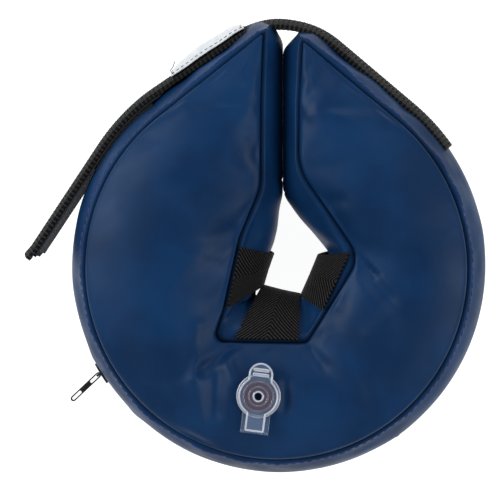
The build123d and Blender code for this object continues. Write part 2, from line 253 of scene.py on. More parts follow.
def sideStrip(seam, middle, inside, rows, power):
    height = depth - 2 * ring["seamIn"]
    v = rowPlaces(np.full(len(seam), height), inside, rows)
    for edge in (0.5 - zipper["slot"] / 2 / height, 0.5 + zipper["slot"] / 2 / height):
        if len(rows) > 2:
            v[:, np.argmin(abs(v[0] - edge))] = edge  # a row along each side of the zip
    bulge = 1 - np.abs(2 * v - 1) ** power
    plan = seam[:, None] + (middle - seam)[:, None] * bulge[..., None]
    z = depth - ring["seamIn"] - v * height
    return np.concatenate([plan, z[..., None]], axis=-1), v * height, (1 - v) * height


def grooved(strip, nearSeam, farSeam, nearWay, farWay):
    # sinks a strip into the seams at its two edges
    for distance, way in ((nearSeam, nearWay), (farSeam, farWay)):
        sink = ring["grooveDepth"] * np.exp(-((distance / ring["grooveWidth"]) ** 2))
        strip = strip - way[:, None] * sink[..., None]
    return strip


def gridNormals(strip):
    along = np.gradient(strip, axis=0)
    across = np.gradient(strip, axis=1)
    return unitVectors(np.cross(along, across))


def softStep(value, low, high):
    x = np.clip((value - low) / (high - low), 0, 1)
    return x * x * (3 - 2 * x)


# soft folds on the front panel: a line, how far it sinks (or rises), and its half width
folds = [
    ((-16.5, -30.5), (-29.0, -41.0), 2.3, 2.4),
    ((-30.5, -23.0), (-32.0, -43.0), -1.6, 3.2),
    ((-23.5, -43.5), (-24.5, -58.0), 2.2, 3.8),
    ((-19.5, -36.5), (-16.0, -45.0), -1.0, 3.0),
    ((4.8, -46.5), (4.6, -56.5), 1.8, 2.6),
    ((32.0, 7.0), (40.0, -1.5), 1.8, 1.7),
    ((37.0, -1.5), (49.0, -14.5), 1.7, 3.2),
    ((50.5, -14.5), (39.5, -26.0), -1.2, 3.6),
    ((12.5, -30.0), (19.0, -39.0), 1.2, 3.0),
    ((-33.0, -46.0), (-30.0, -64.0), -1.0, 4.5),
    ((-17.5, 15.0), (-25.0, 4.0), 0.9, 3.2),
    ((17.5, 26.0), (27.0, 29.0), 0.9, 3.6),
    ((-30.0, 8.0), (-44.0, -10.0), -0.7, 4.2),
    ((24.0, -33.0), (33.0, -50.0), -0.8, 4.5),
]
foldFade = (0.5, 5)  # they fade out between these distances from a seam


def foldSink(plan):
    sink = np.zeros(plan.shape[:-1])
    for start, end, sinks, width in folds:
        start, line = np.array(start), np.array(end) - np.array(start)
        share = ((plan - start) @ line) / (line @ line)
        off = np.linalg.norm(plan - start - np.clip(share, 0, 1)[..., None] * line, axis=-1)
        fade = np.where((share > 0.15) & (share < 0.85), 1, 0.9)  # a little shallower at both ends
        sink += sinks * fade * np.exp(-((off / width) ** 2))
    return sink


def shapeRing(columns, insideRows, rows):
    inner, mid, outer, angles = ringCurves(columns)
    innerMid, outerMid = midCurves(inner, mid, outer, angles)
    outWay = unitVectors(outerMid - outer)
    inWay = unitVectors(innerMid - inner)
    up = np.array([0, 0, 1])
    level = np.zeros((len(outWay), 1))
    outFlat, inFlat = np.concatenate([outWay, level], axis=1), np.concatenate([inWay, level], axis=1)
    frontOut, frontIn = unitVectors(outFlat + up), unitVectors(inFlat + up)
    backOut, backIn = unitVectors(outFlat - up), unitVectors(inFlat - up)
    front, a, b = panelStrip(inner, outer, insideRows[0], rows, True)
    front[..., 2] -= foldSink(front[..., :2]) * softStep(np.minimum(a, b), *foldFade)
    front = grooved(front, a, b, frontIn, frontOut)
    back, c, d = panelStrip(inner, outer, insideRows[2], rows, False)
    back = grooved(back, c, d, backIn, backOut)
    band, e, f = sideStrip(outer, outerMid, insideRows[1], rows, ring["bandPower"])
    for off in (e, f):
        ridge = ring["ridge"] * np.exp(-(((off - ring["ridgePlace"]) / ring["ridgeWidth"]) ** 2))
        band[..., :2] += outWay[:, None] * ridge[..., None]
    band = grooved(band, e, f, frontOut, backOut)
    lining, g, h = sideStrip(inner, innerMid, insideRows[3], rows, ring["liningPower"])
    lining = grooved(lining, g, h, frontIn, backIn)
    return {
        "front": front,
        "band": band,
        "back": back,
        "lining": lining,
        "places": {"front": a / (a + b), "band": e / (e + f), "back": c / (c + d), "lining": g / (g + h)},
        "near": {"front": (a, b), "band": (e, f), "back": (c, d), "lining": (g, h)},
        "seams": (inner, outer, innerMid, outerMid, angles),
    }


# meshes

def plainMesh(name, points, faces, smooth=True):
    mesh = bpy.data.meshes.new(name)
    mesh.from_pydata((np.asarray(points) * unit).tolist(), [], [list(f) for f in faces])
    mesh.validate()
    if smooth:
        mesh.shade_smooth()
    piece = bpy.data.objects.new(name, mesh)
    bpy.context.scene.collection.objects.link(piece)
    return piece


def outwards(piece):
    made = bmesh.new()
    made.from_mesh(piece.data)
    bmesh.ops.recalc_face_normals(made, faces=made.faces)
    made.to_mesh(piece.data)
    made.free()
    return piece


def walledSheet(name, strip, normals, wall, near, keep=None):
    # a strip of points as cloth with a thickness, closed all round, its outer side as shaped
    rows, across = strip.shape[:2]
    if keep is None:
        keep = np.ones((rows - 1, across - 1), bool)
    count = rows * across
    points = np.concatenate([strip.reshape(-1, 3), (strip - normals * wall).reshape(-1, 3)])
    corner = np.arange(count).reshape(rows, across)
    quads = np.stack([corner[:-1, :-1], corner[:-1, 1:], corner[1:, 1:], corner[1:, :-1]], axis=-1)
    centre = normals[:-1, :-1] + normals[1:, 1:]
    facing = np.cross(strip[1:, 1:] - strip[:-1, :-1], strip[1:, :-1] - strip[:-1, 1:])
    if (centre * facing)[keep].sum() < 0:
        quads = quads[..., ::-1]
    outer = quads[keep].reshape(-1, 4)
    single = {}
    for a, b, c, d in outer.tolist():
        for edge in ((a, b), (b, c), (c, d), (d, a)):
            if edge[::-1] in single:
                del single[edge[::-1]]
            else:
                single[edge] = True
    rims = [(b, a, a + count, b + count) for a, b in single]
    faces = outer.tolist() + (outer[:, ::-1] + count).tolist() + rims
    used = np.unique(outer)
    used = np.concatenate([used, used + count])
    place = np.full(2 * count, -1)
    place[used] = np.arange(len(used))
    faces = [[int(place[k]) for k in face] for face in faces]
    piece = plainMesh(name, points[used], faces)
    flatNormals = np.concatenate([normals.reshape(-1, 3), -normals.reshape(-1, 3)])[used]
    mesh = piece.data
    # distance from the nearest seam; the cover finish turns near black with it, as painted shade in the seams
    seam = mesh.attributes.new("seamDistance", "FLOAT", "POINT")
    seam.data.foreach_set("value", (np.concatenate([near.ravel()] * 2)[used]).astype(np.float32))
    index = np.zeros(len(mesh.loops), int)
    mesh.loops.foreach_get("vertex_index", index)
    loopNormals = flatNormals[index]
    loopNormals[-4 * len(rims):] = 0  # Blender works out the rim's own
    mesh.normals_split_custom_set(loopNormals.tolist())
    return piece


# materials

class Value:
    # a socket that takes Python arithmetic
    def __init__(self, finish, socket):
        self.finish, self.socket = finish, socket

    def maths(self, operation, *others):
        return self.finish.node("ShaderNodeMath", {"operation": operation}, dict(enumerate((self, *others))))

    def __add__(self, other):
        return self.maths("ADD", other)

    def __sub__(self, other):
        return self.maths("SUBTRACT", other)

    def __mul__(self, other):
        return self.maths("MULTIPLY", other)

    def __rsub__(self, other):
        return (self * -1) + other

    __radd__, __rmul__ = __add__, __mul__

    def __abs__(self):
        return self.maths("ABSOLUTE")


class Finish:
    def __init__(self, name, **constants):
        self.material = bpy.data.materials.new(name)
        self.material.use_nodes = True
        self.nodes, self.links = self.material.node_tree.nodes, self.material.node_tree.links
        self.shader = self.nodes["Principled BSDF"]
        self.put(self.shader, constants)

    def put(self, node, sockets):
        for key, value in sockets.items():
            key = key.replace("_", " ") if isinstance(key, str) and key not in node.inputs else key
            if isinstance(value, Value):
                self.links.new(value.socket, node.inputs[key])
            else:
                node.inputs[key].default_value = value

    def node(self, kind, settings={}, sockets={}, out=0):
        made = self.nodes.new(kind)
        for key, value in settings.items():
            setattr(made, key, value)
        self.put(made, sockets)
        return Value(self, made.outputs[out])

    def place(self, kind="Object"):
        return self.node("ShaderNodeTexCoord", out={"Object": 3, "UV": 2}[kind])

    def scaled(self, factors, kind="Object"):
        return self.node("ShaderNodeMapping", {}, {"Vector": self.place(kind), "Scale": factors})

    def noise(self, scale, detail=3.0, kind="Object", factors=(1, 1, 1), roughness=0.5):
        vector = self.scaled(factors, kind)
        sockets = {"Vector": vector, "Scale": scale, "Detail": detail, "Roughness": roughness}
        return self.node("ShaderNodeTexNoise", {}, sockets)

    def ranged(self, value, low, high, toLow, toHigh):
        sockets = {0: value, 1: low, 2: high, 3: toLow, 4: toHigh}
        return self.node("ShaderNodeMapRange", {"interpolation_type": "SMOOTHSTEP"}, sockets)

    def mixed(self, share, one, two):
        return self.node("ShaderNodeMix", {"data_type": "RGBA"}, {0: share, 6: one, 7: two}, out=2)

    def bumped(self, height, strength, distance):
        sockets = {"Height": height, "Strength": strength, "Distance": distance}
        self.put(self.shader, {"Normal": self.node("ShaderNodeBump", {}, sockets)})

    def colour(self, value):
        self.put(self.shader, {"Base Color": value})

    def rough(self, value):
        self.put(self.shader, {"Roughness": value})


def rgb(red, green, blue):
    # from display values, 0 to 255
    linear = [((c / 255 + 0.055) / 1.055) ** 2.4 if c > 10 else c / 255 / 12.92 for c in (red, green, blue)]
    return (*linear, 1)


def coverFinish():
    # coated fabric: satin skin with a fine pebble grain and slow changes of tone, and painted shade into the
    # seams
    f = Finish("coverFabric", Specular_IOR_Level=0.12)
    tone = f.noise(22, 4)
    cloud = f.noise(70, 3)
    deep, light = rgb(7, 38, 71), rgb(13, 49, 87)
    skin = f.mixed(f.ranged(tone * 0.7 + cloud * 0.3, 0.35, 0.65, 0, 1), deep, light)
    seam = f.node("ShaderNodeAttribute", {"attribute_name": "seamDistance"}, out=2)
    # painted shade in the seams: near black within 0.15 mm of a seam, fading out by 0.75 mm, standing in for
    # the shadow in the seam's groove
    f.colour(f.mixed(f.ranged(seam, 0.15, 0.75, 1, 0), skin, rgb(2, 6, 16)))
    f.rough(f.ranged(f.noise(55, 3), 0.3, 0.7, 0.4, 0.5))
    grain = f.node("ShaderNodeTexVoronoi", {"feature": "SMOOTH_F1"}, {"Vector": f.place(), "Scale": 2600})
    f.bumped(grain * 0.6 + f.noise(900, 2) * 0.5, 0.22, 0.0002)
    return f.material


def tapeFinish():
    # herringbone tape: slanted ribs that turn at its middle, dull and slightly brown in places
    f = Finish("loopTape", Specular_IOR_Level=0.12)
    along = f.node("ShaderNodeSeparateXYZ", {}, {0: f.place("UV")})
    across = f.node("ShaderNodeSeparateXYZ", {}, {0: f.place("UV")}, out=1)
    slant = along + abs(across)
    rib = f.node("ShaderNodeMath", {"operation": "SINE"}, {0: slant * (2 * math.pi / 0.0017)})
    thread = f.noise(1500, 2, "UV")
    dark, light = rgb(3, 3, 4), rgb(62, 56, 54)
    f.colour(f.mixed(f.ranged(rib + thread, 0.8, 1.8, 0, 1), dark, light))
    f.rough(f.ranged(rib, -1, 1, 0.85, 0.6))
    f.bumped(rib * 0.5 + thread * 0.5, 0.5, 0.0003)
    return f.material


def webbingFinish():
    f = Finish("webbing", Specular_IOR_Level=0.12)
    along = f.node("ShaderNodeSeparateXYZ", {}, {0: f.place("UV")})
    rib = f.node("ShaderNodeMath", {"operation": "SINE"}, {0: along * (2 * math.pi / 0.002)})
    thread = f.noise(1800, 2, "UV", (1, 0.4, 1))
    f.colour(f.mixed(f.ranged(thread + rib * 0.5, 0.45, 1.15, 0, 1), rgb(2, 2, 3), rgb(50, 46, 43)))
    f.rough(f.ranged(thread, 0.3, 0.7, 0.55, 0.8))
    f.bumped(thread, 0.5, 0.0003)
    return f.material


def pileFinish(name, dark, light, scale, rough):
    f = Finish(name, Specular_IOR_Level=0.2)
    fuzz = f.noise(scale, 3)
    f.colour(f.mixed(f.ranged(fuzz, 0.35, 0.7, 0, 1), dark, light))
    f.rough(f.ranged(fuzz, 0.3, 0.7, rough, rough + 0.2))
    f.bumped(fuzz, 0.8, 0.0004)
    return f.material


def labelFinish():
    f = Finish("label", Sheen_Weight=0.3, Specular_IOR_Level=0.5)
    weave = f.noise(1400, 2, "UV", (0.2, 1, 1))
    f.colour(f.mixed(f.ranged(weave, 0.3, 0.7, 0, 1), rgb(176, 177, 180), rgb(214, 214, 214)))
    f.rough(f.ranged(weave, 0.3, 0.7, 0.35, 0.5))
    f.bumped(weave, 0.25, 0.0001)
    return f.material


def threadFinish(name, dark, light):
    f = Finish(name, Specular_IOR_Level=0.2)
    twist = f.noise(2500, 1)
    f.colour(f.mixed(f.ranged(twist, 0.3, 0.7, 0, 1), dark, light))
    f.rough(f.ranged(twist, 0.3, 0.7, 0.5, 0.65))
    f.bumped(twist, 0.4, 0.0001)
    return f.material


def vinylFinish(name, alpha, edge, colour, clear=None):
    # clear soft vinyl, milky and near white where it is seen edge on, partly the vinyl seen along its
    # thickness and partly a painted highlight; smoked over the valve's mouth if clear is given
    f = Finish(name, Coat_Weight=0.6, Coat_Roughness=0.05, Specular_IOR_Level=0.7)
    facing = f.node("ShaderNodeLayerWeight", {}, {"Blend": 0.35}, out=1)
    cloud = f.noise(160, 3)
    if clear is not None:
        centre = sum(cadBox("valve_sleeve")) / 2 * unit
        plan = f.node("ShaderNodeVectorMath", {"operation": "MULTIPLY"}, {0: f.place(), 1: (1, 1, 0)})
        middle = (centre[0], centre[1], 0)
        off = f.node("ShaderNodeVectorMath", {"operation": "DISTANCE"}, {0: plan, 1: middle}, out=1)
        mouth = f.ranged(off, 0.0062, 0.0071, 1, 0)
        colour = f.mixed(mouth, clear, colour)
        alpha = mouth * (alpha - 0.22) + 0.22
    # towards the edge colour where seen edge on: milky vinyl and a painted highlight
    f.colour(f.mixed(f.ranged(facing + cloud * 0.2, 0.25, 0.95, 0, 1), colour, edge))
    f.rough(f.ranged(cloud, 0.3, 0.7, 0.1, 0.2))
    if clear is None:
        alpha = f.ranged(facing, 0.1, 0.85, alpha, 0.95)
    f.put(f.shader, {"Alpha": alpha})
    f.bumped(f.noise(300, 2), 0.15, 0.0002)
    return f.material


def metalFinish():
    f = Finish("blackEnamel", Coat_Weight=0.5, Coat_Roughness=0.1)
    wear = f.noise(500, 4)
    f.colour(f.mixed(f.ranged(wear, 0.62, 0.75, 0, 1), rgb(12, 13, 14), rgb(74, 74, 76)))
    f.put(f.shader, {"Metallic": f.ranged(wear, 0.6, 0.75, 0.3, 0.9)})
    f.rough(f.ranged(f.noise(220, 3), 0.3, 0.7, 0.25, 0.4))
    f.bumped(f.noise(700, 2), 0.15, 0.0001)
    return f.material


def nylonFinish():
    f = Finish("zipNylon", Specular_IOR_Level=0.5)
    tone = f.noise(600, 2)
    f.colour(f.mixed(tone, rgb(14, 18, 30), rgb(34, 42, 62)))
    f.rough(f.ranged(tone, 0.3, 0.7, 0.3, 0.45))
    f.bumped(tone, 0.2, 0.0001)
    return f.material


def wovenFinish():
    f = Finish("zipTape", Sheen_Weight=0.2)
    weave = f.node("ShaderNodeTexBrick", {}, {"Vector": f.place(), "Scale": 900}, out=1)
    fibre = f.noise(1600, 2)
    f.colour(f.mixed(f.ranged(fibre, 0.3, 0.7, 0, 1), rgb(16, 24, 46), rgb(34, 46, 78)))
    f.rough(f.ranged(fibre, 0.3, 0.7, 0.7, 0.9))
    f.bumped(weave * 0.5 + fibre, 0.4, 0.0002)
    return f.material


finishes = {
    "cover": coverFinish(),
    "tape": tapeFinish(),
    "webbing": webbingFinish(),
    "hook": pileFinish("hookTape", rgb(6, 7, 12), rgb(30, 34, 48), 2600, 0.4),
    "pile": pileFinish("loopPile", rgb(8, 8, 9), rgb(38, 37, 38), 1800, 0.75),
    "label": labelFinish(),
    "thread": threadFinish("sewingThread", rgb(36, 52, 106), rgb(64, 82, 146)),
    "blackThread": threadFinish("blackThread", rgb(8, 8, 9), rgb(36, 35, 36)),
    # vinyl finishes: alpha, the colour where seen edge on (partly a painted highlight), their own colour, and
    # the smoked colour
    "valve": vinylFinish("valveVinyl", 0.72, rgb(190, 186, 200), rgb(86, 76, 92), rgb(120, 140, 170)),
    # near-white finish for the valve's rounded edges and rims: a painted highlight
    "valveEdgeHighlight": vinylFinish("valveEdgeHighlight", 0.8, rgb(252, 252, 254), rgb(196, 196, 206)),
    "valveRing": vinylFinish("valveRing", 0.65, rgb(186, 180, 192), rgb(122, 112, 128)),
    "bladder": vinylFinish("bladderVinyl", 0.3, rgb(220, 224, 230), rgb(150, 156, 166)),
    "metal": metalFinish(),
    "nylon": nylonFinish(),
    "woven": wovenFinish(),
}
print("stage: finishes made")


def dressed(piece, finish):
    piece.data.materials.clear()
    piece.data.materials.append(finishes[finish])
    return piece


# where the arm bends: its pivot and the line to the dividing seam; bendsWithArm only bakes a piece's placing
# into its mesh and ties it to no body

pivot = jointPlace("collar_open")[:2]
divideSeam = np.array([17.3, -21.2])  # the dividing line at the neck seam
armLine = unitVectors(divideSeam - pivot)
armWay = np.array([-armLine[1], armLine[0]])
if armWay[1] < 0:
    armWay = -armWay


def bendsWithArm(piece):
    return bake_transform(piece)


# the cover

inflation = {
    "columns": 190,
    "rows": (14, 11, 9, 11),
    "frames": 18,
    "quality": 6,
    "pressure": 40,
    "slack": 0.025,
    "mass": 0.002,
    "damping": 2.5,
    "stretch": 30,
    "bend": 0.4,
    "endsOff": 5,  # the strips come to a point at the two ends, where cloth can't be solved
    "most": 1.6,
    "swell": 0.25,
    "swellFrom": 20,  # the even swelling is measured this many columns in from each end
    "still": 3,
    "smoothing": 2,
    "seamFade": (0.2, 2.5),  # the puckers fade between these distances from the seams
    "endFade": (2, 12),  # from the two ends
    "zipFade": (0.5, 4),  # from the zip's slot
    "slitFade": (14, 26),  # and up the lining, towards the slit
}


def inflatedBy(strips):
    # the cover as one closed cloth, held at its seams and ends and blown up; how far each point moves
    strips = {name: strips[name] for name in ("front", "band", "back", "lining")}
    turned = [strips["front"], strips["band"], strips["back"][:, ::-1], strips["lining"][:, ::-1]]
    off = inflation["endsOff"]
    loop = np.concatenate([part[:, :-1] for part in turned], axis=1)[off:-off]
    rows, around = loop.shape[:2]
    corner = np.arange(rows * around).reshape(rows, around)
    nextOne = np.roll(corner, -1, axis=1)
    faces = np.stack([corner[:-1], nextOne[:-1], nextOne[1:], corner[1:]], axis=-1).reshape(-1, 4)
    shell = plainMesh("clothShell", loop.reshape(-1, 3), faces.tolist())
    outwards(shell)
    seams = np.cumsum([0] + [part.shape[1] - 1 for part in turned])[:-1]
    held = np.zeros((rows, around), bool)
    held[:, seams] = True
    held[:2] = held[-2:] = True
    group = shell.vertex_groups.new(name="held")
    group.add(corner[held].tolist(), 1.0, "REPLACE")
    cloth = shell.modifiers.new("cloth", "CLOTH")
    settings = cloth.settings
    settings.vertex_group_mass = "held"
    settings.use_pressure, settings.uniform_pressure_force = True, inflation["pressure"]
    settings.shrink_min = -inflation["slack"]
    settings.quality, settings.mass = inflation["quality"], inflation["mass"]
    settings.air_damping = inflation["damping"]
    settings.tension_stiffness = settings.compression_stiffness = inflation["stretch"]
    settings.bending_stiffness = inflation["bend"]
    settings.effector_weights.gravity = 0
    scene = bpy.context.scene
    for step in range(1, inflation["frames"] + 1):
        scene.frame_set(step)
    blown = bpy.data.meshes.new_from_object(shell.evaluated_get(bpy.context.evaluated_depsgraph_get()))
    after = np.empty(len(blown.vertices) * 3)
    blown.vertices.foreach_get("co", after)
    moved = after.reshape(rows, around, 3) / unit - loop
    bpy.data.meshes.remove(blown)
    bpy.data.objects.remove(shell)
    scene.frame_set(1)
    moved = np.pad(np.concatenate([moved, moved[:, :1]], axis=1), ((off, off), (0, 0), (0, 0)))
    parts, first = {}, 0
    for (name, part), turn in zip(strips.items(), (1, 1, -1, -1)):
        last = first + part.shape[1]
        parts[name] = moved[:, first:last][:, ::turn]
        first = last - 1
    return parts


def inflated(shape):
    # the cloth's puckers, laid over the drawn shape; a little of its even swelling is kept
    coarse = shapeRing(inflation["columns"], inflation["rows"], coarseRows)
    rows = len(shape["front"])
    inner = shape["seams"][0]
    toEnds = runLengths(inner), runLengths(inner[::-1])[::-1]
    far, still = inflation["swellFrom"], inflation["still"]
    ratio = (rows - 1) / inflation["columns"]
    for name, shift in inflatedBy(coarse).items():
        rise = np.sum(shift * gridNormals(coarse[name]), axis=-1)
        rise = rise - (1 - inflation["swell"]) * rise[far:-far].mean(axis=0)
        rise[:still] = rise[-still:] = 0
        rise = inflation["most"] * np.tanh(rise / inflation["most"])
        fine = np.empty(shape[name].shape[:2])
        for i in range(rows):
            low = min(int(i / ratio), inflation["columns"] - 1)
            share = i / ratio - low
            column = (1 - share) * rise[low] + share * rise[low + 1]
            places = (1 - share) * coarse["places"][name][low] + share * coarse["places"][name][low + 1]
            fine[i] = np.interp(shape["places"][name][i], places, column)
        for j in range(fine.shape[1]):
            fine[:, j] = smoothed(fine[:, j], inflation["smoothing"])
        keep = softStep(np.minimum(*shape["near"][name]), *inflation["seamFade"])
        for toEnd in toEnds:
            keep *= softStep(toEnd, *inflation["endFade"])[:, None]
        if name == "band":
            fromSlot = abs(shape[name][..., 2] - midDepth) - zipper["slot"] / 2
            keep *= softStep(fromSlot, *inflation["zipFade"])
        if name == "lining":
            keep *= 1 - softStep(shape[name][..., 1], *inflation["slitFade"])
        change = gridNormals(shape[name]) * (fine * keep)[..., None]
        if name == "back":
            change[..., 2] = np.maximum(change[..., 2], -shape[name][..., 2])
        print("stage: cloth moved", name, round(float(abs(change).max()), 2), "mm at most")
        shape[name] = shape[name] + change
    return shape


shape = shapeRing(ring["columns"], ring["rows"], fineRows)
shape = inflated(shape)
innerSeam, outerSeamLine, innerMid, outerMid, bandAngles = shape["seams"]
split = int(np.argmax((innerSeam[:, 0] > -14) & (innerSeam[:, 1] < -20)))
gussetY = cadBox("end_gusset_left")[0][1]
gussetLeft = int(np.argmax(innerMid[:, 1] < gussetY))
gussetRight = len(innerMid) - 1 - int(np.argmax(innerMid[::-1, 1] < gussetY - 5))


crossSeam = {"depth": 0.35, "width": 0.5}
zipRaise = {
    "runOut": (1, 4),  # degrees past the zip's ends
    "lumps": ((1, zipper["start"], 3.2), (0.8, 226, 2.5)),  # share, angle and half width of each
    "lump": 0.9,
    "lumpHeight": 8,
    "lip": 0.35,
    "lipPlace": 4.8,
    "lipWidth": 1.5,
}


def bell(off, width):
    return np.exp(-((off / width) ** 2))


def sewnAcross(strip, normals, column, lengths):
    # sinks the lining where a gusset meets the neck band
    sink = crossSeam["depth"] * bell(lengths - lengths[column], crossSeam["width"])
    return strip - normals * sink[:, None, None]


def raisedZip(strip, normals):
    # the band stands up a little along the zip, most at its start and a little further on
    height = abs(strip[..., 2] - midDepth)
    near, far = zipRaise["runOut"]
    inside = softStep(bandAngles, zipper["start"] - far, zipper["start"] - near)
    inside *= 1 - softStep(bandAngles, zipper["end"] + near, zipper["end"] + far)
    lumps = sum(share * bell(bandAngles - place, width) for share, place, width in zipRaise["lumps"])
    lip = zipRaise["lip"] * bell(height - zipRaise["lipPlace"], zipRaise["lipWidth"])
    lump = zipRaise["lump"] * bell(height, zipRaise["lumpHeight"])
    lift = lip * inside[:, None] + lump * lumps[:, None]
    return strip + normals * lift[..., None]


def coverPieces(shape):
    band, lining = shape["band"], shape["lining"]
    normals = {name: gridNormals(shape[name]) for name in ("front", "band", "back", "lining")}
    # normals are turned to point out of the cushion, by one of each strip
    half = ring["columns"] // 2
    normals["front"] *= np.sign(normals["front"][half, 20, 2])
    normals["back"] *= -np.sign(normals["back"][half, 20, 2])
    normals["band"] *= np.sign(normals["band"][half, band.shape[1] // 2, 1] * -1)
    toHole = (innerMid - innerSeam)[half]
    normals["lining"] *= np.sign(normals["lining"][half, lining.shape[1] // 2, :2] @ toHole)
    shape["band"] = band = raisedZip(band, normals["band"])
    runs = runLengths(innerMid)
    for column in (gussetLeft, gussetRight):
        shape["lining"] = sewnAcross(shape["lining"], normals["lining"], column, runs)
    inZip = (bandAngles[:-1] >= zipper["start"]) & (bandAngles[:-1] < zipper["end"])
    z = (band[:-1, :-1, 2] + band[:-1, 1:, 2]) / 2
    keep = ~(inZip[:, None] & (abs(z - midDepth) < zipper["slot"] / 2))
    ends = len(innerSeam)
    plan = [
        ("frontPanel", "front", 0, split + 1, ("front_panel",), None),
        ("frontPanelArm", "front", split, ends, ("front_panel_arm",), None),
        ("backPanel", "back", 0, split + 1, ("back_panel",), None),
        ("backPanelArm", "back", split, ends, ("back_panel_arm",), None),
        ("outerBand", "band", 0, split + 1, ("outer_band",), keep),
        ("outerBandArm", "band", split, ends, ("outer_band_arm",), keep),
        ("endGussetLeft", "lining", 0, gussetLeft + 1, ("end_gusset_left",), None),
        ("neckBand", "lining", gussetLeft, split + 1, ("neck_band",), None),
        ("neckBandArm", "lining", split, gussetRight + 1, ("neck_band_arm",), None),
        ("endGussetRight", "lining", gussetRight, ends, ("end_gusset_right",), None),
    ]
    for name, strip, first, last, nodes, mask in plan:
        points, ways = shape[strip][first:last], normals[strip][first:last]
        part = None if mask is None else mask[first:last - 1]
        near = np.minimum(*shape["near"][strip])[first:last]
        piece = walledSheet(name, points, ways, ring["wall"], near, part)
        dressed(piece, "cover")
        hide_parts(*nodes)
        if first == 0 or name == "neckBand":
            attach(piece, "collar_body")
        elif name == "endGussetRight":
            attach(piece, "right_arm")
        else:
            bendsWithArm(piece)
    return normals


normals = coverPieces(shape)
print("stage: cover sewn")


# the bladder, inside

bladder = {
    "away": 3.6,
    "endsOff": 8,  # columns left out at each end
    "seamOff": 9,  # rows left out at each seam
    "columnStep": 3,
    "rowStep": 2,
}


def bladderPieces():
    # the same ring, drawn in from the cover, one closed skin in two parts
    away, off, step = bladder["away"], bladder["endsOff"], bladder["columnStep"]
    kept = slice(bladder["seamOff"], -bladder["seamOff"], bladder["rowStep"])
    inward = unitVectors(outerSeamLine[off:-off] - innerSeam[off:-off])
    inward = np.pad(inward, ((off, off), (0, 0)), mode="edge")
    lining = shape["lining"].copy()
    lining[..., :2] += inward[:, None] * away
    for name, first, last, node in (
        ("bladderRing", off, split + 1, "bladder"),
        ("bladderArm", split, len(innerSeam) - off, "bladder_arm"),
    ):
        loop = [(shape[k] - normals[k] * away)[first:last:step] for k in ("front", "band", "back")]
        loop.append(lining[first:last:step, ::-1])
        tube = np.concatenate([part[:, kept] for part in loop], axis=1)
        rows, around = tube.shape[:2]
        faces = []
        for i in range(rows - 1):
            for j in range(around):
                k = (j + 1) % around
                faces.append((i * around + j, i * around + k, (i + 1) * around + k, (i + 1) * around + j))
        faces.append(tuple(range(around))[::-1])
        faces.append(tuple((rows - 1) * around + j for j in range(around)))
        piece = plainMesh(name, tube.reshape(-1, 3), faces)
        outwards(piece)
        dressed(piece, "bladder")
        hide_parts(node)
        if node == "bladder":
            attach(piece, "collar_body")
        else:
            bendsWithArm(piece)


# Geometry Nodes: what repeats along a path

class Tree:
    def __init__(self, name, **inputs):
        self.tree = bpy.data.node_groups.new(name, "GeometryNodeTree")
        face = self.tree.interface
        face.new_socket("Geometry", in_out="INPUT", socket_type="NodeSocketGeometry")
        face.new_socket("Geometry", in_out="OUTPUT", socket_type="NodeSocketGeometry")
        for key, (kind, value) in inputs.items():
            made = face.new_socket(key, in_out="INPUT", socket_type=kind)
            if value is not None:
                made.default_value = value
        self.start = self.tree.nodes.new("NodeGroupInput")
        self.end = self.tree.nodes.new("NodeGroupOutput")

    def node(self, kind, settings={}, sockets={}, out=0):
        made = self.tree.nodes.new(kind)
        for key, value in settings.items():
            setattr(made, key, value)
        for key, value in sockets.items():
            if isinstance(value, bpy.types.NodeSocket):
                self.tree.links.new(value, made.inputs[key])
            else:
                made.inputs[key].default_value = value
        return made.outputs[out]

    def finish(self, geometry):
        self.tree.links.new(geometry, self.end.inputs[0])
        return self.tree


def beadsTree():
    # rounded beads set at even steps along a line, each turned to follow it
    t = Tree(
        "beadsAlongLine",
        Step=("NodeSocketFloat", 0.003),
        Size=("NodeSocketVector", (0.001, 0.001, 0.001)),
        Turn=("NodeSocketFloat", 0.0),
        Finish=("NodeSocketMaterial", None),
    )
    start = t.start.outputs
    line = t.node("GeometryNodeMeshToCurve", {}, {0: start["Geometry"]})
    line = t.node("GeometryNodeResampleCurve", {"mode": "LENGTH"}, {"Curve": line, "Length": start["Step"]})
    tangent = t.node("GeometryNodeInputTangent")
    turn = t.node("FunctionNodeAlignRotationToVector", {"axis": "X"}, {"Vector": tangent})
    slant = t.node("FunctionNodeAxisAngleToRotation", {}, {"Axis": (0, 0, 1), "Angle": start["Turn"]})
    turned = {"Rotation": turn, "Rotate By": slant}
    turn = t.node("FunctionNodeRotateRotation", {"rotation_space": "LOCAL"}, turned)
    bead = t.node("GeometryNodeMeshUVSphere", {}, {"Segments": 8, "Rings": 6, "Radius": 0.5})
    beads = t.node("GeometryNodeInstanceOnPoints", {},
                   {"Points": line, "Instance": bead, "Rotation": turn, "Scale": start["Size"]})
    beads = t.node("GeometryNodeRealizeInstances", {}, {0: beads})
    beads = t.node("GeometryNodeSetShadeSmooth", {}, {0: beads})
    beads = t.node("GeometryNodeSetMaterial", {}, {"Geometry": beads, "Material": start["Finish"]})
    return t.finish(beads)


beads = beadsTree()


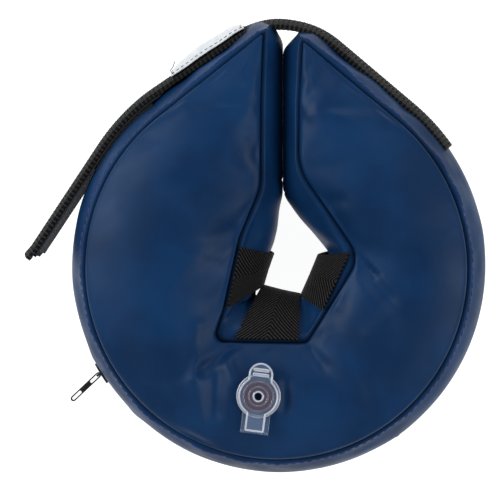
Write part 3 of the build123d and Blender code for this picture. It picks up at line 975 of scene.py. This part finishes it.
def beadLineTree():
    # a round bead laid along a line
    t = Tree("beadOnLine", Radius=("NodeSocketFloat", 0.0004), Finish=("NodeSocketMaterial", None))
    start = t.start.outputs
    line = t.node("GeometryNodeMeshToCurve", {}, {0: start["Geometry"]})
    line = t.node("GeometryNodeResampleCurve", {"mode": "LENGTH"}, {"Curve": line, "Length": 0.0005})
    section = t.node("GeometryNodeCurvePrimitiveCircle", {}, {"Resolution": 8, "Radius": start["Radius"]})
    sweep = {"Curve": line, "Profile Curve": section, "Fill Caps": True}
    bead = t.node("GeometryNodeCurveToMesh", {}, sweep)
    bead = t.node("GeometryNodeRealizeInstances", {}, {0: bead})
    bead = t.node("GeometryNodeSetShadeSmooth", {}, {0: bead})
    bead = t.node("GeometryNodeSetMaterial", {}, {"Geometry": bead, "Material": start["Finish"]})
    return t.finish(bead)


beadLine = beadLineTree()


def nodesMesh(name, source, tree, **inputs):
    # runs a tree on a mesh once and keeps the result as a plain mesh
    modifier = source.modifiers.new("nodes", "NODES")
    modifier.node_group = tree
    for item in tree.interface.items_tree:
        if item.in_out == "INPUT" and item.name in inputs:
            modifier[item.identifier] = inputs[item.name]
    bpy.context.view_layer.update()
    seen = source.evaluated_get(bpy.context.evaluated_depsgraph_get())
    mesh = bpy.data.meshes.new_from_object(seen)
    bpy.data.objects.remove(source)
    mesh.name = name
    piece = bpy.data.objects.new(name, mesh)
    bpy.context.scene.collection.objects.link(piece)
    return piece


def lineMesh(name, runs):
    points, edges = [], []
    for run in runs:
        edges += [(len(points) + k, len(points) + k + 1) for k in range(len(run) - 1)]
        points += list(run)
    mesh = bpy.data.meshes.new(name)
    mesh.from_pydata((np.array(points) * unit).tolist(), edges, [])
    source = bpy.data.objects.new(name, mesh)
    bpy.context.scene.collection.objects.link(source)
    return source


stitch = {"step": 3.4, "size": (2.5, 0.5, 0.42), "turn": 0.07, "fromSeam": 2.3, "lift": 0.06, "endsOff": 2}


def rowAt(strip, distances, place):
    # the line on a strip at one distance from its seam
    points = [[np.interp(place, d, p[:, k]) for k in range(3)] for d, p in zip(distances, strip)]
    return np.array(points)


def stitchRows():
    # one row beside each seam of the band
    rows = []
    for distances, turn in zip(shape["near"]["band"], (1, -1)):
        distances = distances[:, ::turn]
        line = rowAt(shape["band"][:, ::turn], distances, stitch["fromSeam"])
        way = rowAt(normals["band"][:, ::turn], distances, stitch["fromSeam"])
        rows.append(line + way * stitch["lift"])
    size = tuple(k * unit for k in stitch["size"])
    off = stitch["endsOff"]
    for name, first, last in (
        ("topStitchRing", off, split + 1),
        ("topStitchArm", split + 1, len(innerSeam) - off),
    ):
        source = lineMesh(name, [row[first:last] for row in rows])
        piece = nodesMesh(name, source, beads, Step=stitch["step"] * unit, Size=size,
                          Turn=stitch["turn"], Finish=finishes["thread"])
        if name == "topStitchRing":
            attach(piece, "collar_body")
        else:
            bendsWithArm(piece)


# closed strips: tapes, straps, label

def slabMesh(name, under, over, maps):
    # a closed strip between two grids of points; maps holds the along and across place of each
    rows, across = under.shape[:2]
    count = rows * across
    points = np.concatenate([over.reshape(-1, 3), under.reshape(-1, 3)])
    k = np.arange(count).reshape(rows, across)
    quads = np.stack([k[:-1, :-1], k[:-1, 1:], k[1:, 1:], k[1:, :-1]], axis=-1).reshape(-1, 4)
    rim = np.concatenate([k[0, :], k[1:, -1], k[-1, -2::-1], k[-2:0:-1, 0]])
    after = np.roll(rim, -1)
    sides = np.stack([after, rim, rim + count, after + count], axis=-1)
    faces = np.concatenate([quads, quads[:, ::-1] + count, sides]).tolist()
    piece = plainMesh(name, points, faces)
    layer = piece.data.uv_layers.new(name="along")
    index = np.zeros(len(piece.data.loops), int)
    piece.data.loops.foreach_get("vertex_index", index)
    both = np.concatenate([maps.reshape(-1, 2)] * 2) * unit
    layer.data.foreach_set("uv", both[index].ravel())
    outwards(piece)
    piece.data.set_sharp_from_angle(angle=math.radians(50))
    return piece


# tape loops round the neck opening

loopTape = {
    "width": 25.4,
    "length": 58,
    "thick": 0.8,
    "rib": 1.7,
    "relief": 0.16,
    "slack": 0.5,
    "mitred": 0.85,  # share of its area left by the mitred corners
    "rows": 130,
    "columns": 64,
    "seamOff": 0.004,
}
# each: its two ends on the neck seam, the same two edges at mid-depth, and its CAD node
loops = {
    "loopLeft": ((-14.7, 9.2), (-20.3, -16.2), (-2.6, 5.4), (-7.0, -8.2), "loop_left"),
    "loopBottom": ((-16.9, -29.2), (9.7, -29.5), (-6.9, -8.8), (9.2, -12.5), "loop_bottom"),
    "loopRight": ((20.0, -16.8), (31.2, 7.0), (10.2, -12.2), (17.3, 4.6), "loop_right"),
}


def herringbone(along, across):
    # height of the slanted ribs, which turn at the middle of the tape
    place = (along + abs(across)) / loopTape["rib"]
    rib = abs(np.sin(np.pi * place)) ** 0.7
    spine = 1 - 0.6 * np.exp(-((across / 0.5) ** 2))
    edge = 1 - 0.5 * np.exp(-(((abs(across) - loopTape["width"] / 2) / 0.6) ** 2))
    return loopTape["relief"] * rib * spine * edge


def tapeLoops():
    v = np.linspace(loopTape["seamOff"], 1 - loopTape["seamOff"], loopTape["rows"])[:, None]
    s = np.linspace(0, 1, loopTape["columns"])[None, :]
    height = depth - 2 * ring["seamIn"]
    for name, (seamA, seamB, midA, midB, node) in loops.items():
        seamA, seamB, midA, midB = (np.array(k) for k in (seamA, seamB, midA, midB))
        bulge = (1 - abs(2 * v - 1) ** 2.0)[..., None]
        seam = seamA + (seamB - seamA) * s[..., None]
        mid = midA + (midB - midA) * s[..., None]
        sag = loopTape["slack"] * np.sin(np.pi * s[..., None]) * bulge * np.sin(5 * v[..., None] + 1)
        plan = seam + (mid - seam) * bulge + sag * unitVectors(mid - seam)
        z = np.broadcast_to(depth - ring["seamIn"] - v * height, plan.shape[:2])
        under = np.concatenate([plan, z[..., None]], axis=-1)
        ways = gridNormals(under)
        row, column = loopTape["rows"] // 2, loopTape["columns"] // 2
        ways *= np.sign(ways[row, column, :2] @ (mid - seam)[0, column])
        along = runLengths(under[:, column])[:, None]
        across = (s - 0.5) * loopTape["width"]
        along, across = np.broadcast_arrays(along, across)
        over = under + ways * (loopTape["thick"] + herringbone(along, across))[..., None]
        piece = slabMesh(name, under, over, np.stack([along, across], axis=-1))
        dressed(piece, "tape")
        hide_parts(node)
        if node == "loop_right":
            bendsWithArm(piece)
        else:
            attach(piece, "collar_body")


# strap

strap = {
    "width": 25.0,
    "thick": 1.6,
    "tip": (1.6, 66.0),  # centre of its arc over the two tips
    "tipRadius": 35.0,
    "startAngle": 35.0,  # on the right flank, where it is sewn
    "peelAngle": 78.0,
    "leaveAngle": 146.5,  # where the tail leaves the band
    "tail": 55.0,
    "onArm": 0.15,  # how far it stands off the arm, the tip and the pad
    "overTip": 0.7,
    "overPad": 3.1,
    "riseOver": 22,  # degrees from the first to the second
    "lean": 2.6,  # how far its two edges fall back
    "rib": 2.0,
    "cord": 2.5,  # width of one cord of the webbing
    "relief": 0.3,
    "step": 0.4,
    "columns": 26,
    "flare": 0.06,
    "flareRun": 5,
    "blend": (4, 3),  # before and after the peel line
}


def arcPoints(centre, radii, degrees):
    turns = np.radians(degrees)
    ways = np.stack([np.cos(turns), np.sin(turns)], axis=-1)
    return np.array(centre) + ways * np.reshape(radii, (-1, 1))


def strapPath():
    # up the right flank, over both tips, down the left flank and off as a tail
    span = np.linalg.norm(strap["tip"])
    middle = math.degrees(math.atan2(strap["tip"][1], strap["tip"][0]))
    half = math.degrees(math.acos((bandRadius - strap["tipRadius"]) / span))
    low = np.linspace(strap["startAngle"], middle - half, 30)
    top = np.linspace(middle - half, middle + half, 90)
    end = np.linspace(middle + half, strap["leaveAngle"], 40)
    rise = softStep(top, strap["peelAngle"], strap["peelAngle"] + strap["riseOver"])
    rise = strap["onArm"] + (strap["overTip"] - strap["onArm"]) * rise
    first = arcPoints((0, 0), bandRadius + strap["onArm"], low)
    over = arcPoints(strap["tip"], strap["tipRadius"] + rise, top)
    last = arcPoints((0, 0), bandRadius + strap["overPad"], end)
    going = unitVectors(last[-1] - last[-2])
    tail = last[-1] + going * np.linspace(0.5, strap["tail"], 60)[:, None]
    path = np.concatenate([first, over, last, tail])
    places = np.arange(0, runLengths(path)[-1], strap["step"])
    path = pointsAt(path, places)
    path = np.stack([smoothed(path[:, 0], 4), smoothed(path[:, 1], 4)], axis=-1)
    return path, places


def ribbonGrid(path, places, width, inner, thick, columns, lean, relief=None):
    # a strip standing on edge along a plan path; inner is its distance off the path
    way = unitVectors(np.gradient(path, axis=0))
    out = np.stack([way[:, 1], -way[:, 0]], axis=-1)
    if np.mean(np.sum(out * path, axis=1)) < 0:
        out = -out
    h = np.linspace(-width / 2, width / 2, columns)
    back = lean * (2 * h / width) ** 2
    under = np.zeros((len(path), columns, 3))
    under[..., :2] = path[:, None] + out[:, None] * (inner - back)[..., None]
    under[..., 2] = midDepth + h
    over = under.copy()
    extra = thick if relief is None else thick + relief
    over[..., :2] += out[:, None] * np.broadcast_to(extra, under.shape[:2])[..., None]
    maps = np.stack(np.broadcast_arrays(places[:, None], h[None]), axis=-1)
    return under, over, maps, out


def makeStrap():
    path, places = strapPath()
    width, columns = strap["width"], strap["columns"]
    h = np.linspace(-width / 2, width / 2, columns)
    cord = np.floor((h + width / 2) / strap["cord"])
    wave = np.sin(2 * np.pi * (places[:, None] / strap["rib"] + 0.5 * (cord[None] % 2)))
    selvedge = abs(h)[None] > width / 2 - 1.2
    relief = strap["relief"] * wave * (1 - 0.4 * selvedge)
    under, over, maps, out = ribbonGrid(
        path, places, width, 0, strap["thick"], columns, strap["lean"], relief)
    under[..., :2] -= out[:, None] * (relief * 0.5)[..., None]
    flare = softStep(places, places[-1] - strap["flareRun"], places[-1])[:, None]
    for grid in (under, over):
        grid[..., 2] += flare * h[None] * strap["flare"]
    over[..., :2] += out[:, None] * (flare * 0.5)[..., None]
    piece = slabMesh("strap", under, over, maps)
    dressed(piece, "webbing")
    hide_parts("strap_anchor", "strap_free")
    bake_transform(piece)
    return path, places


bladderPieces()
stitchRows()
tapeLoops()
strapLine, strapPlaces = makeStrap()
print("stage: loops and strap")


hookTape = {"from": 124, "end": 2, "edge": 0.6, "under": 1.05, "thick": 0.85}
loopPad = {"angles": (127.3, 152.0), "step": 0.28, "off": 0.1, "thick": 1.5, "fuzz": 0.12}
label = {
    "middle": (-29.6, 90.1),
    "length": 36.0,
    "width": 18.0,
    "thick": 0.3,
    "off": 0.35,
    "loose": 4.6,  # how far its lower edge leans out
    "ripple": 0.25,
    "raised": 2.0,
    "stitch": (1.5, 0.3, 0.3),
    "step": 2.4,
    "thread": 0.17,
    "looseThread": ((0, 0, 0), (-0.6, 1.2, 1), (0.5, 2.4, 1.6), (1.2, 4.8, 1.2)),
}
tapeColumns = 22


def makeHookTape(path, places):
    # inside the tail
    width = strap["width"] - hookTape["edge"]
    angles = np.degrees(np.arctan2(path[:, 1], path[:, 0]))
    first = int(np.argmin(abs(angles - hookTape["from"])))
    rows = slice(first, int(np.searchsorted(places, places[-1] - hookTape["end"])))
    under, over, maps, out = ribbonGrid(
        path[rows], places[rows], width, -hookTape["under"], hookTape["thick"], tapeColumns, strap["lean"])
    piece = slabMesh("hookTape", under, over, maps)
    dressed(piece, "hook")
    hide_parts("hook_tape")
    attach(piece, "strap")
    length = float(places[rows][-1] - places[rows][0])


def makeLoopPad():
    # on the band, under the strap
    angles = np.arange(*loopPad["angles"], loopPad["step"])
    run = np.radians(angles) * bandRadius
    arc = arcPoints((0, 0), bandRadius, angles)
    column = np.arange(tapeColumns)
    fuzz = loopPad["fuzz"] * np.sin(37 * run[:, None] + 3 * column) * np.sin(29 * column + run[:, None])
    under, over, maps, out = ribbonGrid(
        arc, run, strap["width"], loopPad["off"], loopPad["thick"], tapeColumns, strap["lean"], fuzz)
    piece = slabMesh("loopPad", under, over, maps)
    dressed(piece, "pile")
    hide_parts("loop_pad")
    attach(piece, "collar_body")
    float(run[-1] - run[0]) * unit


def makeLabel(path, places):
    # on the strap's outer side, sewn at both ends and loose along its lower edge
    middle = int(np.argmin(np.linalg.norm(path - np.array(label["middle"]), axis=1)))
    half = int(label["length"] / 2 / strap["step"])
    rows = slice(middle - half, middle + half + 1)
    share = np.linspace(-1, 1, 2 * half + 1)[:, None]
    h = np.linspace(-1, 1, tapeColumns)[None]
    inner = strap["thick"] + label["off"]
    under, over, maps, out = ribbonGrid(
        path[rows], places[rows], label["width"], inner, label["thick"], tapeColumns, 0)
    lean = strap["lean"] * (label["width"] / strap["width"]) ** 2
    loose = label["loose"] * (0.5 - 0.5 * h) * (1 - abs(share) ** 6)
    ripple = label["ripple"] * np.sin(5.2 * share + 1) * (1 - 0.5 * h) * (1 - abs(share) ** 4)
    for grid in (under, over):
        grid[..., :2] += out[:, None] * (loose + ripple - lean * h ** 2)[..., None]
        grid[..., 2] += label["raised"]
    # its black stitches, and one loose end of thread
    sewn = over + np.append(out, np.zeros((len(out), 1)), axis=1)[:, None] * 0.1
    runs = [sewn[3, 2:-2], sewn[-4, 2:-2], sewn[3:-3, -3]]
    size = tuple(k * unit for k in label["stitch"])
    stitches = nodesMesh("labelStitches", lineMesh("labelStitches", runs), beads, Step=label["step"] * unit,
                         Size=size, Turn=0.0, Finish=finishes["blackThread"])
    end = [sewn[-3, -4] + np.array(k) for k in label["looseThread"]]
    thread = nodesMesh("looseThread", lineMesh("looseThread", [end]), beadLine,
                       Radius=label["thread"] * unit, Finish=finishes["blackThread"])
    for extra in (stitches, thread):
        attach(extra, "strap")
    piece = slabMesh("strapLabel", under, over, maps)
    dressed(piece, "label")
    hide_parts("strap_label")
    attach(piece, "strap")


# zip

teeth = {"step": 1.1, "size": (0.72, 0.95, 2.2), "fromMiddle": 1.35, "out": 0.05, "endsOff": (1.6, 1.5)}


def zipTeeth():
    # two rows that mesh; the lower one is half a step on
    first, last = teeth["endsOff"]
    angles = np.radians(np.arange(zipper["start"] + first, zipper["end"] - last, 0.35))
    reach = bandRadius + teeth["out"]
    for name, side, node in (("zipTeethUpper", 1, "zip_coil_upper"), ("zipTeethLower", -1, "zip_coil_lower")):
        shift = 0 if side > 0 else 0.5 * teeth["step"] / bandRadius
        height = np.full(len(angles), midDepth + side * teeth["fromMiddle"])
        run = np.stack([reach * np.cos(angles + shift), reach * np.sin(angles + shift), height], axis=-1)
        size = tuple(k * unit for k in teeth["size"])
        piece = nodesMesh(name, lineMesh(name, [run]), beads, Step=teeth["step"] * unit, Size=size, Turn=0.0,
                          Finish=finishes["nylon"])
        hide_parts(node)
        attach(piece, "collar_body")


# rigid pieces with their edges rounded

mergeDistance = 2e-6  # metres


def softened(name, node, width, finish, segments=2, edge=None):
    # a CAD node with its edges rounded, and the rounded edges in a finish of their own if edge names one
    piece = bpy.data.objects.new(name, frame["nodes"][node].data.copy())
    bpy.context.scene.collection.objects.link(piece)
    made = bmesh.new()
    made.from_mesh(piece.data)
    bmesh.ops.remove_doubles(made, verts=made.verts, dist=mergeDistance)
    bmesh.ops.dissolve_limit(made, angle_limit=math.radians(1.5), verts=made.verts, edges=made.edges)
    made.to_mesh(piece.data)
    made.free()
    bevel = piece.modifiers.new("bevel", "BEVEL")
    bevel.width, bevel.segments = width * unit, segments
    bevel.limit_method, bevel.angle_limit = "ANGLE", math.radians(40)
    bevel.use_clamp_overlap = True
    if edge is not None:
        piece.data.materials.clear()
        piece.data.materials.append(finishes[finish])
        piece.data.materials.append(finishes[edge])
        bevel.material = 1  # the rounded edges get a near-white finish of their own, a painted highlight where they catch the light
    bpy.context.view_layer.update()
    mesh = bpy.data.meshes.new_from_object(piece.evaluated_get(bpy.context.evaluated_depsgraph_get()))
    bpy.data.objects.remove(piece)
    piece = bpy.data.objects.new(name, mesh)
    bpy.context.scene.collection.objects.link(piece)
    mesh.shade_smooth()
    mesh.set_sharp_from_angle(angle=math.radians(45))
    if edge is None:
        dressed(piece, finish)
    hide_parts(node)
    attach(piece, frame["nodes"][node]["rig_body"])
    return piece


valveBeads = {"rim": 0.42, "ring": 0.36, "rings": (6.1, 3.9, 2.2), "sunk": 0.45}


def topOutline(node):
    # the edges round the largest level face of a node
    made = bmesh.new()
    made.from_mesh(frame["nodes"][node].data)
    bmesh.ops.remove_doubles(made, verts=made.verts, dist=mergeDistance)
    made.normal_update()
    levels = {}
    for face in made.faces:
        if face.normal.z > 0.99:
            levels.setdefault(round(face.calc_center_median().z, 5), []).append(face)
    top = set(max(levels.values(), key=lambda faces: sum(f.calc_area() for f in faces)))
    edges = [edge for edge in made.edges if sum(f in top for f in edge.link_faces) == 1]
    runs = [[np.array(v.co) / unit for v in edge.verts] for edge in edges]
    made.free()
    return runs


def beadPiece(name, runs, radius, finish, body):
    source = lineMesh(name, runs)
    made = bmesh.new()
    made.from_mesh(source.data)
    bmesh.ops.remove_doubles(made, verts=made.verts, dist=mergeDistance)
    made.to_mesh(source.data)
    made.free()
    piece = nodesMesh(name, source, beadLine, Radius=radius * unit, Finish=finishes[finish])
    outwards(piece)
    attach(piece, body)


def valveBeading():
    # welded rims along the cap and the stem's tongue, in the near-white edge finish as a painted highlight,
    # and rings on the cap
    beadPiece("capRim", topOutline("valve_cap"), valveBeads["rim"], "valveEdgeHighlight", "cap")
    beadPiece("stemRim", topOutline("valve_stem"), valveBeads["rim"], "valveEdgeHighlight", "stem")
    centre, top = sum(cadBox("valve_sleeve")) / 2, cadBox("valve_cap")[1][2] - valveBeads["sunk"]
    turns = np.linspace(0, 360, 65)
    rings = [np.pad(arcPoints(centre[:2], r, turns), ((0, 0), (0, 1)), constant_values=top)
             for r in valveBeads["rings"]]
    beadPiece("capRings", rings, valveBeads["ring"], "valveRing", "cap")


def rigidPieces():
    softened("zipSlider", "zip_slider", 0.18, "metal")
    softened("zipPull", "zip_pull", 0.12, "metal")
    softened("zipTopStops", "zip_top_stops", 0.15, "metal")
    softened("zipBottomStop", "zip_bottom_stop", 0.15, "metal")
    softened("valveStem", "valve_stem", 0.4, "valve", 3, "valveEdgeHighlight")
    softened("valveCap", "valve_cap", 0.5, "valve", 3, "valveEdgeHighlight")
    valveBeading()
    for node, finish in (("valve_sleeve", "valve"), ("check_flap", "valve"), ("zip_tape_upper", "woven"),
                         ("zip_tape_lower", "woven")):
        frame["nodes"][node].data.materials.clear()
        frame["nodes"][node].data.materials.append(finishes[finish])


makeHookTape(strapLine, strapPlaces)
makeLoopPad()
makeLabel(strapLine, strapPlaces)
zipTeeth()
rigidPieces()
print("stage: label, zip and valve")


# studio

setting = {
    "paperGlow": 0.95,
    "world": (0.95, 0.97, 1, 1),
    "worldStrength": 0.24,
    "lampColour": (0.88, 0.95, 1.0),
    "lampSize": 0.6,
    # each lamp's place in metres, and its power
    "lamps": (
        ((-0.95, 0.25, 0.75), 10.5),
        ((0.95, -0.15, 0.85), 8.0),
        ((0.1, 1.0, 0.8), 4.5),
        ((-0.1, -0.9, 0.9), 1.4),
    ),
    "lampTarget": (0, 0, 0.03),
    "lens": 172.2,
    "target": (-0.0120, 0.0065, 0.030),
    "away": (0.073, 0.063, 1.0),
}


def layFloor():
    bpy.ops.mesh.primitive_plane_add(size=6, location=(0, 0, -0.0005))
    floor = bpy.context.object
    floor.name = "floor"
    paper = Finish("paper", Specular_IOR_Level=0.1, Emission_Strength=setting["paperGlow"])
    paper.colour(rgb(170, 170, 170))
    paper.rough(0.9)
    paper.put(paper.shader, {"Emission Color": (1, 1, 1, 1)})
    floor.data.materials.append(paper.material)


def hangLights():
    world = bpy.data.worlds.new("studio")
    bpy.context.scene.world = world
    world.use_nodes = True
    background = world.node_tree.nodes["Background"].inputs
    background["Color"].default_value = setting["world"]
    background["Strength"].default_value = setting["worldStrength"]
    for k, (place, power) in enumerate(setting["lamps"]):
        light = bpy.data.lights.new(f"softbox{k}", "AREA")
        light.size, light.energy, light.color = setting["lampSize"], power, setting["lampColour"]
        lamp = bpy.data.objects.new(light.name, light)
        lamp.location = place
        way = Vector(setting["lampTarget"]) - Vector(place)
        lamp.rotation_euler = way.to_track_quat("-Z", "Y").to_euler()
        bpy.context.scene.collection.objects.link(lamp)


def aimCamera():
    eye = bpy.data.cameras.new("eye")
    eye.lens = setting["lens"]
    camera = bpy.data.objects.new("eye", eye)
    target, away = Vector(setting["target"]), Vector(setting["away"])
    back = away.normalized()
    right = Vector((0, 1, 0)).cross(back).normalized()
    camera.matrix_world = Matrix((right, back.cross(right), back)).transposed().to_4x4()
    camera.location = target + away
    bpy.context.scene.collection.objects.link(camera)
    bpy.context.scene.camera = camera
    bpy.context.scene.view_settings.view_transform = "Standard"


layFloor()
hangLights()
aimCamera()
